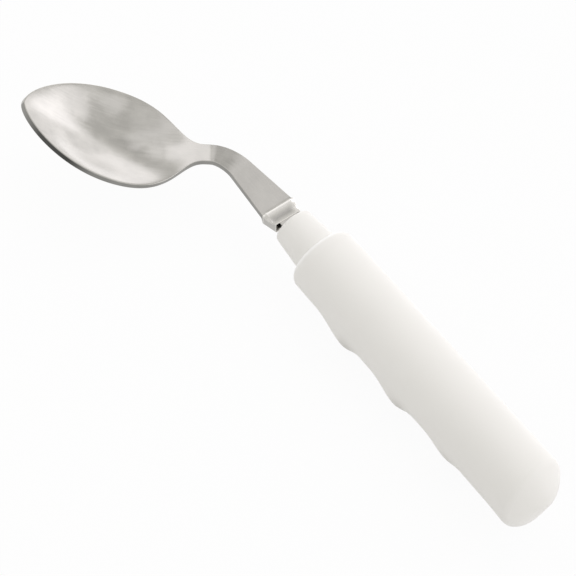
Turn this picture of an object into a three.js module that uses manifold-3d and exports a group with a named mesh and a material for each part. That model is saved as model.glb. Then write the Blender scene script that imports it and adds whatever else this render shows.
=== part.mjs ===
// Adaptive teaspoon, angled to the left: a stainless spoon bonded into a thick hollow handle.
// Millimetres, +Z up. The handle lies along X, with the bowl at the +X end and the finger ridges below.
import * as THREE from 'three';
import { mergeVertices } from 'three/addons/utils/BufferGeometryUtils.js';
import Module from 'manifold-3d';

// Gap between two pieces that touch
const CLEARANCE = 0.3;

// Tang, the end of the steel inside the handle
const TANG_WIDTH = 6.6;
const TANG_THICKNESS = 2;
const TANG_LENGTH = 31;
const NOTCH_COUNT = 3;
const NOTCH_LENGTH = 2;
const NOTCH_DEPTH = 0.8;

// Resin round the tang
const RESIN_WALL = 0.5;
const RESIN_END = 1;
const RESIN_RECESS = 1.6;

// Collar plug: the tapered collar in front, the spigot behind it
const COLLAR_LENGTH = 11.75;
const COLLAR_LIP = 1.35;
const COLLAR_EDGE_RADIUS = 0.6;
const SEAT_WIDTH = 1.1;
const SPIGOT_WALL = 1;
const PLUG_END_WALL = 2.5;
const BEAD_COUNT = 2;
const BEAD_PLACE = 6;
const BEAD_SPACING = 8;
const BEAD_LENGTH = 1.2;
const BEAD_HEIGHT = 0.5;

// Handle shell
const HANDLE_LENGTH = 96.9;
const HANDLE_WALL = 4.5;
const HANDLE_FLARE = 0.4;
const SHOULDER_RADIUS = 3.4;
const BUTT_EDGE_RADIUS = 3.6;
const BUTT_DOME_RADIUS = 13.6;
const BUTT_FLAT_RADIUS = 2.5;
const BUTT_SLANT = 0.5;
const BUTT_SLANT_LENGTH = 22;
const BUTT_WALL = 6;
const BORE_DRAFT = 0.5;
const BORE_CORNER_RADIUS = 2;
const FIRST_RIDGE_PLACE = 24;
const RIDGE_SPACING = 22;
const RIDGE_LENGTH = 18;
const RIDGE_HEIGHTS = [3.1, 2.4, 1];

// Bolster, the thick block of steel in front of the collar
const BOLSTER_LENGTH = 4.6;
const BOLSTER_GAP = 1.85;
const BOLSTER_WIDTH = 12.2;
const BOLSTER_BACK_WIDTH = 9.4;
const BOLSTER_THICKNESS = 3.4;
const BOLSTER_DROP = 0.4;
const BOLSTER_DRAFT = 0.1;
const BOLSTER_LEAN = 0.8;
const BOLSTER_LAND = 1.6;
const BOLSTER_EDGE_DROP = 0.3;
const COVE_DEPTH = 0.75;
const COVE_BACK_DROP = 0.2;

// Stem, from the bolster through the sideways bend to the neck
const STEM_OFFSET = 0.45;
const STEM_STEP = 0.12;
const STEM_STEP_LENGTH = 0.3;
const STEM_WIDTH = 11.4;
const STEM_LENGTH = 16;
const BEND_WIDTH = 7.9;
const BEND_RADIUS = 11.5;
const STEM_TURN = THREE.MathUtils.degToRad(1.2);
const BEND_ANGLE = THREE.MathUtils.degToRad(51);
const CREST_LENGTH = 1.15;
const NECK_WIDTH = 6.1;
const NECK_LENGTH = 2.3;
const STEM_THICKNESS = 1.6;
const NECK_THICKNESS = 1.9;

// Bowl: its outline flares out of the neck to the widest place and closes at the tip, each on one curve
const BOWL_LENGTH = 56.3;
const BOWL_WIDTH = 32.4;
const BOWL_DEPTH = 4.5;
const WIDEST_PLACE = 27.2;
const FLARE_REACH = 8.3;
const HEEL_REACH = 19.3;
const SIDE_REACH = 16.9;
const TIP_REACH = 5;
const TIP_FLAT = 0.6;
const DISH_PLACE = 2;
const DISH_EASE = 10;
const DISH_REACH = 11;
const SCOOP_PLACE = 4.6;
const SCOOP_LENGTH = 7.5;
const RIM_LEAN = 0.3;
const BOWL_THICKNESS = 1.8;

// Slope of the steel along its length, above the handle's line
const BEND_RISE = THREE.MathUtils.degToRad(7);
const NECK_DROP = THREE.MathUtils.degToRad(-5.7);
const HEEL_RISE = THREE.MathUtils.degToRad(14);
const TIP_RISE = THREE.MathUtils.degToRad(26.5);

// Exponents: how round the dish is across the bowl, and how soon a ridge fades round the handle
const SHAPE = { dish: 1.3, ridge: 1.5 };

// Fineness of the facets
const ROUND_STEPS = 40;
const ARC_STEPS = 5;
const ACROSS_STEPS = 12;
const STEM_STEPS = 4;
const BEND_STEPS = 9;
const NECK_STEPS = 5;
const BOWL_STEPS = 36;
const BOLSTER_STEPS = 6;
const CURVE_STEPS = 30;
const RIDGE_STEPS = 8;

// Fits worked out from the sizes above, from the tang outwards
const POCKET_GAP = RESIN_WALL + 2 * CLEARANCE;
const POCKET_WIDTH = TANG_WIDTH + 2 * POCKET_GAP;
const POCKET_HEIGHT = TANG_THICKNESS + 2 * POCKET_GAP;
const POCKET_REACH = Math.hypot(POCKET_WIDTH, POCKET_HEIGHT) / 2;
const POCKET_DEPTH = TANG_LENGTH + RESIN_END + 2 * CLEARANCE;
const COLLAR_FRONT_RADIUS = POCKET_REACH + COLLAR_LIP;
const SPIGOT_RADIUS = POCKET_REACH + SPIGOT_WALL;
const SPIGOT_LENGTH = POCKET_DEPTH - COLLAR_LENGTH + PLUG_END_WALL;
const BORE_RADIUS = SPIGOT_RADIUS + CLEARANCE;
const COLLAR_BACK_RADIUS = BORE_RADIUS + SEAT_WIDTH;
const HANDLE_RADIUS = BORE_RADIUS + HANDLE_WALL;
const BUTT_RADIUS = HANDLE_RADIUS + HANDLE_FLARE;

// Places along X: the collar sits on the shell's front face, at x = 0
const MOUTH_X = COLLAR_LENGTH;
const TANG_END_X = MOUTH_X - TANG_LENGTH;
const BOLSTER_BACK_X = MOUTH_X + BOLSTER_GAP;
const BOLSTER_FRONT_X = BOLSTER_BACK_X + BOLSTER_LENGTH;
const STEM_TOP_Z = BOLSTER_THICKNESS / 2 - BOLSTER_DROP;
const BOLSTER_FOOT_Z = STEM_TOP_Z - BOLSTER_THICKNESS;

// Distances along the blade, from the bolster's ridge to the tip
const BEND_END = STEM_LENGTH + BEND_RADIUS * BEND_ANGLE;
const HEEL = BEND_END + NECK_LENGTH;
const DISH = HEEL + DISH_PLACE;
const SCOOP = HEEL + SCOOP_PLACE;
const WIDEST = HEEL + WIDEST_PLACE;
const TIP = HEEL + BOWL_LENGTH;

const wasm = await Module();
wasm.setup();

// A closed skin over rings of points, each end closed by a fan about the ring's middle
function skin(rings) {
  const count = rings[0].length;
  const points = rings.flat();
  const index = [];
  for (let i = 0; i + 1 < rings.length; i += 1) {
    for (let j = 0; j < count; j += 1) {
      const a = i * count + j;
      const b = i * count + ((j + 1) % count);
      index.push(a, b, b + count, a, b + count, a + count);
    }
  }
  const last = (rings.length - 1) * count;
  const back = points.push(middle(rings[0])) - 1;
  const front = points.push(middle(rings[rings.length - 1])) - 1;
  for (let j = 0; j < count; j += 1) {
    const k = (j + 1) % count;
    index.push(back, k, j, front, last + j, last + k);
  }
  const geometry = new THREE.BufferGeometry().setFromPoints(points);
  geometry.setIndex(index);
  return geometry;
}

function middle(ring) {
  const sum = ring.reduce((total, point) => total.add(point), new THREE.Vector3());
  return sum.divideScalar(ring.length);
}

function toSolid(geometry) {
  const bare = geometry.clone();
  bare.deleteAttribute('normal');
  bare.deleteAttribute('uv');
  const merged = mergeVertices(bare);
  return new wasm.Manifold(new wasm.Mesh({
    numProp: 3,
    vertProperties: new Float32Array(merged.attributes.position.array),
    triVerts: new Uint32Array(merged.index.array),
  }));
}

function toGeometry(solid) {
  const mesh = solid.getMesh();
  const geometry = new THREE.BufferGeometry();
  geometry.setAttribute('position', new THREE.BufferAttribute(mesh.vertProperties, mesh.numProp));
  geometry.setIndex(new THREE.BufferAttribute(mesh.triVerts, 1));
  return geometry;
}

// A box along X between two places, centred on the handle's axis
function barBetween(x0, x1, width, height) {
  return new THREE.BoxGeometry(x1 - x0, width, height).translate((x0 + x1) / 2, 0, 0);
}

// Rings round the X axis; form moves the points that aren't on a plain round ring
function turned(profile, form = (point) => point) {
  return skin(profile.map((point) => {
    const ring = [];
    for (let j = 0; j < ROUND_STEPS; j += 1) {
      const angle = (2 * Math.PI * j) / ROUND_STEPS;
      const { x, r } = form(point, angle);
      ring.push(new THREE.Vector3(x, r * Math.sin(angle), -r * Math.cos(angle)));
    }
    return ring;
  }));
}

// Points on an arc, at angles from the +X direction towards the outside
function arc(x, r, radius, from, to, steps = ARC_STEPS) {
  const points = [];
  for (let i = 0; i <= steps; i += 1) {
    const angle = from + ((to - from) * i) / steps;
    points.push({ x: x + radius * Math.cos(angle), r: r + radius * Math.sin(angle) });
  }
  return points;
}

function ramp(value, from, to) {
  return THREE.MathUtils.clamp((value - from) / (to - from), 0, 1);
}

// Straight lines between knots, each a place and a value
function between(knots, place) {
  let value = knots[0][1];
  for (let i = 0; i + 1 < knots.length; i += 1) {
    const [x0, y0] = knots[i];
    const [x1, y1] = knots[i + 1];
    if (place > x0) value = y0 + (y1 - y0) * ramp(place, x0, x1);
  }
  return value;
}

// The beads on the spigot and the grooves that they snap into share this profile
function beads(radius, spread) {
  const points = [];
  for (let i = 0; i < BEAD_COUNT; i += 1) {
    const x = -BEAD_PLACE - BEAD_SPACING * i;
    const foot = BEAD_LENGTH / 2 + BEAD_HEIGHT + spread;
    const top = BEAD_LENGTH / 2 + spread;
    points.push({ x: x + foot, r: radius });
    points.push({ x: x + top, r: radius + BEAD_HEIGHT });
    points.push({ x: x - top, r: radius + BEAD_HEIGHT });
    points.push({ x: x - foot, r: radius });
  }
  return points;
}

// Finger ridges: three smooth waves along the underside that fade out at the handle's sides
function ridgeHeight(x) {
  return RIDGE_HEIGHTS.reduce((sum, height, i) => {
    const away = Math.abs(-x - FIRST_RIDGE_PLACE - RIDGE_SPACING * i) / (RIDGE_LENGTH / 2);
    return away < 1 ? sum + height * Math.cos((Math.PI / 2) * away) ** 2 : sum;
  }, 0);
}

function ridgeSwell(x, angle) {
  return ridgeHeight(x) * Math.max(0, Math.cos(angle)) ** SHAPE.ridge;
}

// The butt slants, shorter at the top than at the underside, and stays square only in its middle
function buttSlide(x, r, angle) {
  const near = ramp(-x, HANDLE_LENGTH - BUTT_SLANT_LENGTH, HANDLE_LENGTH) ** 2;
  const out = ramp(r, BUTT_FLAT_RADIUS, BUTT_RADIUS);
  return -BUTT_SLANT * near * out * r * Math.cos(angle);
}

function gripForm({ x, r, outside }, angle) {
  if (!outside) return { x, r };
  return { x: x + buttSlide(x, r, angle), r: r + ridgeSwell(x, angle) };
}

function bodyPlaces(front, back) {
  const places = [front, back];
  RIDGE_HEIGHTS.forEach((height, i) => {
    for (let k = 0; k <= RIDGE_STEPS; k += 1) {
      const place = FIRST_RIDGE_PLACE + RIDGE_SPACING * i + RIDGE_LENGTH * (k / RIDGE_STEPS - 0.5);
      places.push(-place);
    }
  });
  const inside = places.filter((x) => x <= front && x >= back);
  return [...new Set(inside)].sort((a, b) => b - a);
}

function shellGeometry() {
  const shoulder = Math.min(SHOULDER_RADIUS, HANDLE_WALL - SEAT_WIDTH);
  const boreEnd = -HANDLE_LENGTH + BUTT_WALL;
  const boreEndRadius = BORE_RADIUS - BORE_DRAFT;
  const flatAngle = Math.asin(BUTT_FLAT_RADIUS / BUTT_DOME_RADIUS);
  const domeX = -HANDLE_LENGTH + BUTT_DOME_RADIUS * Math.cos(flatAngle);
  const inset = BUTT_DOME_RADIUS - BUTT_EDGE_RADIUS;
  const domeAngle = Math.asin((BUTT_RADIUS - BUTT_EDGE_RADIUS) / inset);
  const edgeX = domeX - inset * Math.cos(domeAngle);
  const corner = BORE_CORNER_RADIUS;
  const bore = [
    ...arc(boreEnd + corner, boreEndRadius - corner, corner, Math.PI, Math.PI / 2),
    { x: -SPIGOT_LENGTH - CLEARANCE, r: BORE_RADIUS },
    ...beads(BORE_RADIUS, CLEARANCE).reverse(),
    { x: 0, r: BORE_RADIUS },
  ];
  const front = arc(-shoulder, HANDLE_RADIUS - shoulder, shoulder, 0, Math.PI / 2);
  const body = bodyPlaces(-shoulder, edgeX).slice(1, -1).map((x) => ({
    x,
    r: HANDLE_RADIUS + HANDLE_FLARE * ramp(x, -shoulder, edgeX),
  }));
  const edge = arc(edgeX, BUTT_RADIUS - BUTT_EDGE_RADIUS, BUTT_EDGE_RADIUS, Math.PI / 2, Math.PI - domeAngle);
  const dome = arc(domeX, 0, BUTT_DOME_RADIUS, Math.PI - domeAngle, Math.PI - flatAngle).slice(1);
  const outside = [...body, ...edge, ...dome].map((point) => ({ ...point, outside: true }));
  return turned([...bore, ...front, ...outside].reverse(), gripForm);
}

function plugGeometry() {
  const edge = COLLAR_EDGE_RADIUS;
  const outside = turned([
    { x: -SPIGOT_LENGTH, r: SPIGOT_RADIUS - edge },
    { x: -SPIGOT_LENGTH + edge, r: SPIGOT_RADIUS },
    ...beads(SPIGOT_RADIUS, 0).reverse(),
    { x: CLEARANCE, r: SPIGOT_RADIUS },
    { x: CLEARANCE, r: COLLAR_BACK_RADIUS },
    ...arc(MOUTH_X - edge, COLLAR_FRONT_RADIUS - edge, edge, Math.PI / 2, 0),
  ]);
  const pocket = barBetween(MOUTH_X - POCKET_DEPTH, MOUTH_X + edge, POCKET_WIDTH, POCKET_HEIGHT);
  return toGeometry(toSolid(outside).subtract(toSolid(pocket)));
}

// Half widths of the tang from its end to the mouth, with notches that key it into the resin
function tangOutline() {
  const half = TANG_WIDTH / 2;
  const spacing = (TANG_LENGTH - RESIN_RECESS) / (NOTCH_COUNT + 1);
  const outline = [{ x: TANG_END_X, half }];
  for (let i = 1; i <= NOTCH_COUNT; i += 1) {
    const x = TANG_END_X + spacing * i;
    outline.push({ x: x - NOTCH_LENGTH / 2 - NOTCH_DEPTH, half });
    outline.push({ x: x - NOTCH_LENGTH / 2, half: half - NOTCH_DEPTH });
    outline.push({ x: x + NOTCH_LENGTH / 2, half: half - NOTCH_DEPTH });
    outline.push({ x: x + NOTCH_LENGTH / 2 + NOTCH_DEPTH, half });
  }
  return outline;
}

// Shares of a half width across the steel, close together near its edges
const ACROSS = Array.from({ length: ACROSS_STEPS + 1 }, (_, j) => Math.sin(Math.PI * (0.5 - j / ACROSS_STEPS)));

// A straight stretch of the steel at x: a bar whose top edges may drop outside the land, and whose foot
// may be narrower by a draft and stand further back by a lean
function barRing(x, half, top, bottom, { land = half, drop = 0, draft = 0, lean = 0 } = {}) {
  const slope = land < half ? drop / (half - land) : 0;
  const upper = ACROSS.map((share) => {
    const y = share * half;
    return new THREE.Vector3(x, y, top - slope * Math.max(0, Math.abs(y) - land));
  });
  const lower = ACROSS.map((share) => new THREE.Vector3(x - lean, -share * (half - draft), bottom));
  return [...upper, ...lower];
}

function tangRings(grow = 0) {
  const top = TANG_THICKNESS / 2 + grow;
  const rings = tangOutline().map(({ x, half }) => barRing(x, half + grow, top, -top));
  rings[0].forEach((point) => point.setX(TANG_END_X - grow));
  return rings;
}

// The bolster's back face leans, and the tang's last ring lies in it
function bolsterRings() {
  const tangTop = TANG_THICKNESS / 2;
  const backTop = STEM_TOP_Z - COVE_BACK_DROP;
  const slant = BOLSTER_LEAN / (backTop - BOLSTER_FOOT_Z);
  const tangX = BOLSTER_BACK_X - slant * (backTop - tangTop);
  const rings = [barRing(tangX, TANG_WIDTH / 2, tangTop, -tangTop, { lean: slant * TANG_THICKNESS })];
  for (let i = 0; i <= BOLSTER_STEPS; i += 1) {
    const share = i / BOLSTER_STEPS;
    const half = THREE.MathUtils.lerp(BOLSTER_BACK_WIDTH, BOLSTER_WIDTH, share) / 2;
    const cove = COVE_DEPTH * Math.sin(Math.PI * share) + COVE_BACK_DROP * (1 - share);
    rings.push(barRing(BOLSTER_BACK_X + BOLSTER_LENGTH * share, half, STEM_TOP_Z - cove, BOLSTER_FOOT_Z, {
      land: half - BOLSTER_LAND * share,
      drop: BOLSTER_EDGE_DROP * share,
      draft: BOLSTER_DRAFT,
      lean: BOLSTER_LEAN,
    }));
  }
  return rings;
}

// The blade turns sideways through the bend and rises and falls along its length
function heading(s) {
  const turn = THREE.MathUtils.lerp(STEM_TURN, BEND_ANGLE, ramp(s, STEM_LENGTH, BEND_END));
  const slope = between([
    [STEM_LENGTH, 0],
    [(STEM_LENGTH + BEND_END) / 2, BEND_RISE],
    [BEND_END - CREST_LENGTH, BEND_RISE],
    [BEND_END + CREST_LENGTH, NECK_DROP],
    [SCOOP, NECK_DROP],
    [SCOOP + SCOOP_LENGTH, HEEL_RISE],
    [TIP, TIP_RISE],
  ], s);
  const left = new THREE.Vector3(-Math.sin(turn), Math.cos(turn), 0);
  const along = new THREE.Vector3(
    Math.cos(turn) * Math.cos(slope),
    Math.sin(turn) * Math.cos(slope),
    Math.sin(slope),
  );
  return { along, left, up: new THREE.Vector3().crossVectors(along, left) };
}

// The value at a place on a smooth curve, given by the places and the values of its two ends and two handles
function onCurve(places, values, place) {
  const curve = new THREE.CubicBezierCurve(...places.map((x, i) => new THREE.Vector2(x, values[i])));
  let low = 0;
  let high = 1;
  for (let i = 0; i < CURVE_STEPS; i += 1) {
    const middleShare = (low + high) / 2;
    if (curve.getPoint(middleShare).x < place) low = middleShare;
    else high = middleShare;
  }
  return curve.getPoint((low + high) / 2).y;
}

function bladeHalfWidth(s) {
  const neck = NECK_WIDTH / 2;
  const side = BOWL_WIDTH / 2;
  if (s <= HEEL) return between([[0, STEM_WIDTH], [STEM_LENGTH, BEND_WIDTH], [BEND_END, NECK_WIDTH]], s) / 2;
  if (s < WIDEST) {
    return onCurve([HEEL, HEEL + FLARE_REACH, WIDEST - HEEL_REACH, WIDEST], [neck, neck, side, side], s);
  }
  return Math.max(TIP_FLAT, onCurve([WIDEST, WIDEST + SIDE_REACH, TIP, TIP], [side, side, TIP_REACH, 0], s));
}

function dishDepth(s) {
  if (s <= DISH) return 0;
  if (s < WIDEST) {
    return onCurve([DISH, DISH + DISH_EASE, WIDEST - DISH_REACH, WIDEST], [0, 0, BOWL_DEPTH, BOWL_DEPTH], s);
  }
  return BOWL_DEPTH * (bladeHalfWidth(s) / (BOWL_WIDTH / 2)) ** (2 * SHAPE.dish);
}

function bladeRing(s, origin) {
  const { left, up } = heading(s);
  const half = bladeHalfWidth(s);
  const depth = dishDepth(s);
  const sheet = between([
    [0, STEM_THICKNESS],
    [BEND_END, NECK_THICKNESS],
    [SCOOP, NECK_THICKNESS],
    [SCOOP + SCOOP_LENGTH, BOWL_THICKNESS],
  ], s);
  const inset = Math.min(between([[SCOOP, 0], [SCOOP + SCOOP_LENGTH, RIM_LEAN]], s), half / 2);
  const at = (y, z) => origin.clone().addScaledVector(left, y).addScaledVector(up, z);
  const dish = (share) => Math.max(0, 1 - share * share) ** SHAPE.dish;
  const upper = ACROSS.map((share) => at(share * (half - inset), -depth * dish(share)));
  const lower = ACROSS.map((share) => at(-share * half, -sheet - depth * dish(share)));
  return [...upper, ...lower];
}

function bladePlaces() {
  const places = [STEM_STEP_LENGTH];
  const run = (from, to, steps, ease = (share) => share) => {
    for (let i = 1; i <= steps; i += 1) places.push(from + (to - from) * ease(i / steps));
  };
  run(STEM_STEP_LENGTH, STEM_LENGTH, STEM_STEPS);
  run(STEM_LENGTH, BEND_END, BEND_STEPS);
  run(BEND_END, HEEL, NECK_STEPS);
  run(HEEL, TIP, BOWL_STEPS, (share) => (1 - Math.cos(Math.PI * share)) / 2);
  return places;
}

function bladeRings() {
  const substeps = 4;
  const origin = new THREE.Vector3(BOLSTER_FRONT_X, STEM_OFFSET, STEM_TOP_Z - STEM_STEP);
  let from = 0;
  return bladePlaces().map((s) => {
    for (let k = 0; k < substeps; k += 1) {
      const step = (s - from) / substeps;
      origin.addScaledVector(heading(from + step * (k + 0.5)).along, step);
    }
    from = s;
    return bladeRing(s, origin);
  });
}

function spoonGeometry() {
  return skin([...tangRings(), ...bolsterRings(), ...bladeRings()]);
}

function resinGeometry() {
  const back = MOUTH_X - POCKET_DEPTH + CLEARANCE;
  const front = MOUTH_X - RESIN_RECESS;
  const block = barBetween(back, front, POCKET_WIDTH - 2 * CLEARANCE, POCKET_HEIGHT - 2 * CLEARANCE);
  const rings = tangRings(CLEARANCE);
  const half = TANG_WIDTH / 2 + CLEARANCE;
  const top = TANG_THICKNESS / 2 + CLEARANCE;
  rings.push(barRing(MOUTH_X, half, top, -top));
  return toGeometry(toSolid(block).subtract(toSolid(skin(rings))));
}

const steel = new THREE.MeshStandardMaterial({ color: 0xc4c1ba, roughness: 0.28, metalness: 1 });
const collarPlastic = new THREE.MeshStandardMaterial({ color: 0xefeee9, roughness: 0.45, metalness: 0 });
const handlePlastic = new THREE.MeshStandardMaterial({ color: 0xf0efea, roughness: 0.5, metalness: 0 });
const resin = new THREE.MeshStandardMaterial({ color: 0x8f8a76, roughness: 0.35, metalness: 0 });

function piece(name, geometry, material) {
  const mesh = new THREE.Mesh(geometry, material);
  mesh.name = name;
  return mesh;
}

const teaspoon = new THREE.Group();
teaspoon.add(
  piece('spoon', spoonGeometry(), steel),
  piece('tang_resin', resinGeometry(), resin),
  piece('collar_plug', plugGeometry(), collarPlastic),
  piece('handle_shell', shellGeometry(), handlePlastic),
);

// The origin is the middle of the footprint, at the height of the lowest point
const box = new THREE.Box3().setFromObject(teaspoon);
const centre = box.getCenter(new THREE.Vector3());
teaspoon.position.set(-centre.x, -centre.y, -box.min.z);

export default teaspoon;
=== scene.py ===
"""Looks of the adaptive teaspoon: satin steel spoon in a white moulded handle, on a white studio sweep."""
import math
import bmesh
import bpy
import numpy as np
from mathutils import Matrix, Vector


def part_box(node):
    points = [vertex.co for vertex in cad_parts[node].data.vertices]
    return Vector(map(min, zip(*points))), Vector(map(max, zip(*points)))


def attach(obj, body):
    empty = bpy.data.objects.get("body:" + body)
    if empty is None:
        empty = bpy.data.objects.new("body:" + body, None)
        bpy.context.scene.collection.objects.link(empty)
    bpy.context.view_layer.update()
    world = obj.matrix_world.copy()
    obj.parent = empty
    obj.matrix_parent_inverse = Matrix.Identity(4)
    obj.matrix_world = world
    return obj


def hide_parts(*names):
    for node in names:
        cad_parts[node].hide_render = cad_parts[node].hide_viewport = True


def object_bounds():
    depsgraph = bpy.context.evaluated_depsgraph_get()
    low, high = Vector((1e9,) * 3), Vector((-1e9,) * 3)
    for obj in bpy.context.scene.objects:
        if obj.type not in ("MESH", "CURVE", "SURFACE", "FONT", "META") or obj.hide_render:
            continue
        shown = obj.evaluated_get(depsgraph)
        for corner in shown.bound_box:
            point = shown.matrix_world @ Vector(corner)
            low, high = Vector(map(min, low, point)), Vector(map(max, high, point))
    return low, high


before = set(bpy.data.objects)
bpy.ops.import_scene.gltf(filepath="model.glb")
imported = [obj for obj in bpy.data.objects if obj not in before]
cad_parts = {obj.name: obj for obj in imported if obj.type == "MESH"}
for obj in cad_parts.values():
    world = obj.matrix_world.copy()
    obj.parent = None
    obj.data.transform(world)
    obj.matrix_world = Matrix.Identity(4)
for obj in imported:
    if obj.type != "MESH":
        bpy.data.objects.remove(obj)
cad_low, cad_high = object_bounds()

MM = 0.001

# Gap between two pieces that touch, in millimetres like all the part's sizes below
CLEARANCE = 0.3

# Tang and the resin round it
TANG_WIDTH = 6.6
TANG_THICKNESS = 2.0
TANG_LENGTH = 31.0
NOTCH_COUNT = 3
NOTCH_LENGTH = 2.0
NOTCH_DEPTH = 0.8
RESIN_WALL = 0.5
RESIN_END = 1.0
RESIN_RECESS = 1.6

# Collar and the spigot behind it
COLLAR_LENGTH = 11.75
COLLAR_LIP = 1.35
SEAT_WIDTH = 1.1
SPIGOT_WALL = 1.0
PLUG_END_WALL = 2.5
BEAD_COUNT = 2
BEAD_PLACE = 6.0
BEAD_SPACING = 8.0
BEAD_LENGTH = 1.2
BEAD_HEIGHT = 0.5

# Handle shell
HANDLE_LENGTH = 96.9
HANDLE_WALL = 4.5
HANDLE_FLARE = 0.4
SHOULDER_RADIUS = 3.4
BUTT_EDGE_RADIUS = 3.6
BUTT_DOME_RADIUS = 13.6
BUTT_FLAT_RADIUS = 2.5
BUTT_SLANT = 0.5
BUTT_SLANT_LENGTH = 22.0
BUTT_WALL = 6.0
BORE_DRAFT = 0.5
BORE_CORNER_RADIUS = 2.0

# Bolster, the thick block of steel in front of the collar
BOLSTER_LENGTH = 4.6
BOLSTER_GAP = 1.85
BOLSTER_WIDTH = 12.2
BOLSTER_BACK_WIDTH = 9.4
BOLSTER_THICKNESS = 3.4
BOLSTER_DROP = 0.4
BOLSTER_DRAFT = 0.1
BOLSTER_LEAN = 0.8
BOLSTER_LAND = 1.6
COVE_DEPTH = 0.75
COVE_BACK_DROP = 0.2

# Stem, from the bolster through the sideways bend to the neck
STEM_OFFSET = 0.45
STEM_STEP = 0.12
STEM_STEP_LENGTH = 0.3
STEM_WIDTH = 11.4
STEM_LENGTH = 16.0
STEM_TURN = math.radians(1.2)
BEND_WIDTH = 7.9
BEND_RADIUS = 11.5
BEND_ANGLE = math.radians(51)
CREST_LENGTH = 1.15
NECK_WIDTH = 6.1
NECK_LENGTH = 2.3
STEM_THICKNESS = 1.6
NECK_THICKNESS = 1.9

# Bowl: its outline flares out of the neck to the widest place and closes at the tip
BOWL_LENGTH = 56.3
BOWL_WIDTH = 32.4
BOWL_DEPTH = 4.5
BOWL_THICKNESS = 1.8
WIDEST_PLACE = 27.2
FLARE_REACH = 8.3
HEEL_REACH = 19.3
SIDE_REACH = 16.9
TIP_REACH = 5.0
DISH_PLACE = 2.0
DISH_EASE = 10.0
DISH_REACH = 11.0
DISH_FULLNESS = 1.3
SCOOP_PLACE = 4.6
SCOOP_LENGTH = 7.5

# Slope of the steel along its length, above the handle's line
BEND_RISE = math.radians(7)
NECK_DROP = math.radians(-5.7)
HEEL_RISE = math.radians(14)
TIP_RISE = math.radians(26.5)

# Small forms that the part has plainer or not at all, in millimetres
COLLAR_EDGE_RADIUS = 1.2
SEAT_GAP = 0.05
POCKET_LIP = 0.15
POCKET_MOUTH_CORNER = 0.6
POCKET_CORNER = 0.5
RIDGE_PLACES = (24.5, 47.0, 68.0)
RIDGE_HEIGHTS = (3.1, 2.8, 1.9)
RIDGE_FRONTS = (13.0, 11.0, 9.0)
RIDGE_BACKS = (7.0, 7.2, 6.5)
RIDGE_FADE = 1.25
WAIST_DEPTH = 0.65
WAIST_START = (48.0, 57.0)
WAIST_END = (84.0, 92.0)
BOLSTER_EDGE_DROP = 0.45
EDGE_SOFT = 0.2
RIM_SOFT = 0.24
RIM_LEAN = 0.15
WALL_TOP_LEAN = 0.7
WALL_FOOT_LEAN = 0.3

# Sizes and places that follow from the ones above
POCKET_GAP = RESIN_WALL + 2 * CLEARANCE
POCKET_WIDTH = TANG_WIDTH + 2 * POCKET_GAP
POCKET_HEIGHT = TANG_THICKNESS + 2 * POCKET_GAP
POCKET_REACH = math.hypot(POCKET_WIDTH, POCKET_HEIGHT) / 2
POCKET_DEPTH = TANG_LENGTH + RESIN_END + 2 * CLEARANCE
COLLAR_FRONT_RADIUS = POCKET_REACH + COLLAR_LIP
SPIGOT_RADIUS = POCKET_REACH + SPIGOT_WALL
SPIGOT_LENGTH = POCKET_DEPTH - COLLAR_LENGTH + PLUG_END_WALL
BORE_RADIUS = SPIGOT_RADIUS + CLEARANCE
COLLAR_BACK_RADIUS = BORE_RADIUS + SEAT_WIDTH
HANDLE_RADIUS = BORE_RADIUS + HANDLE_WALL
BUTT_RADIUS = HANDLE_RADIUS + HANDLE_FLARE
MOUTH_X = COLLAR_LENGTH
TANG_END_X = MOUTH_X - TANG_LENGTH
BOLSTER_BACK_X = MOUTH_X + BOLSTER_GAP
BOLSTER_FRONT_X = BOLSTER_BACK_X + BOLSTER_LENGTH
STEM_TOP_Z = BOLSTER_THICKNESS / 2 - BOLSTER_DROP
BOLSTER_FOOT_Z = STEM_TOP_Z - BOLSTER_THICKNESS
BEND_END = STEM_LENGTH + BEND_RADIUS * BEND_ANGLE
HEEL = BEND_END + NECK_LENGTH
DISH = HEEL + DISH_PLACE
SCOOP = HEEL + SCOOP_PLACE
SCOOP_END = SCOOP + SCOOP_LENGTH
WIDEST = HEEL + WIDEST_PLACE
TIP = HEEL + BOWL_LENGTH

# Fineness of the meshes
ROUND = 160
BORE_CORNER_STEPS = 6
SHOULDER_STEPS = 12
SIDE_STATIONS = 150
BUTT_EDGE_STEPS = 18
BUTT_DOME_STEPS = 10
COLLAR_STATIONS = 24
COLLAR_EDGE_STEPS = 8
POCKET_DEPTHS = (POCKET_LIP, 2.0, 8.0, 20.0, POCKET_DEPTH)
ACROSS = 48
EDGE_STEPS = 6
BOLSTER_STEPS = 32
STEM_STATIONS = 24
BEND_STATIONS = 60
NECK_STATIONS = 20
BOWL_STATIONS = 180
SQUARE_STATIONS = 3
LINE_STEPS = 4000
CURVE_STEPS = 2000
HANDLE_SHARP = 40
COLLAR_SHARP = 35
STEEL_SHARP = 32
WELD_DISTANCE = 1e-7
FLAT_DISTANCE = 1e-8
TINY = 1e-9
UV_LENGTH = 100.0

ROUND_ANGLES = np.linspace(0, 2 * math.pi, ROUND, endpoint=False)
SHARES = np.sin(np.linspace(math.pi / 2, -math.pi / 2, ACROSS + 1))
CURVE_SHARES = np.linspace(0, 1, CURVE_STEPS + 1)

# The point on the handle's axis where shell and collar meet, in metres
shell_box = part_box("handle_shell")
plug_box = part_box("collar_plug")
SEAT = np.array([
    shell_box[1][0],
    (plug_box[0][1] + plug_box[1][1]) / 2,
    (plug_box[0][2] + plug_box[1][2]) / 2,
])


def smooth(value):
    """Eased from 0 to 1, and level beyond."""
    v = np.clip(value, 0, 1)
    return v * v * (3 - 2 * v)


def ramp(value, start, end):
    """Straight from 0 at the start to 1 at the end, and level beyond."""
    return np.clip((value - start) / (end - start), 0, 1)


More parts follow.
